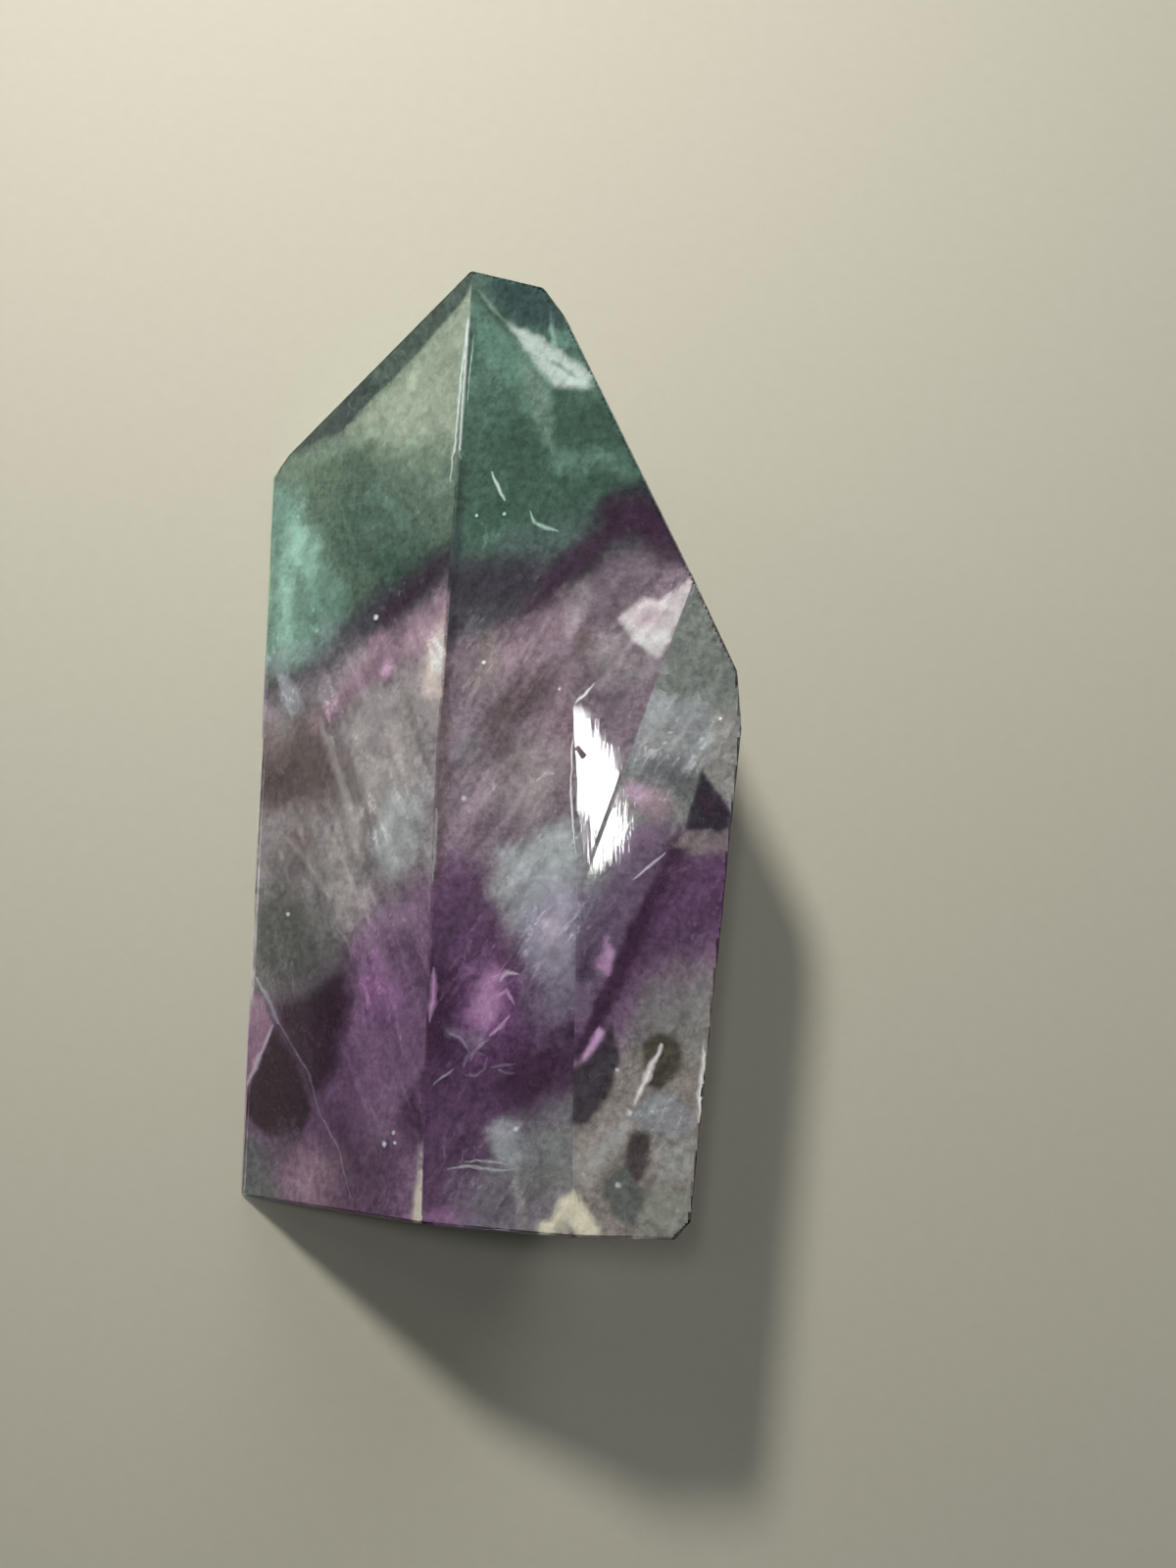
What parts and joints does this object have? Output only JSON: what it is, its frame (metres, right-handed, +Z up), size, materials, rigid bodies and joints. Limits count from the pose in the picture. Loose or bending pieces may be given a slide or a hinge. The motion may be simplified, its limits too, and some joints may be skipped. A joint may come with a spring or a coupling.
{
  "type": "polished fluorite point",
  "caption": "Polished see-through fluorite point with long flat facets, a flat cut heel and a narrow blunt tip, lying on one side.",
  "frame": {"origin": "centre of the bounding box in X and Y, on the surface the stone lies on", "axes": "+Y along the stone's long axis from the cut heel to the tip, +Z up from the side it lies on, +X to the overhanging right flank"},
  "size_m": [0.0272, 0.0504, 0.0131],
  "materials": {
    "fluorite": "polished, clear with green and violet zones"
  },
  "bodies": {
    "root": {"fluorite_point": "fluorite"}
  },
  "joints": []
}
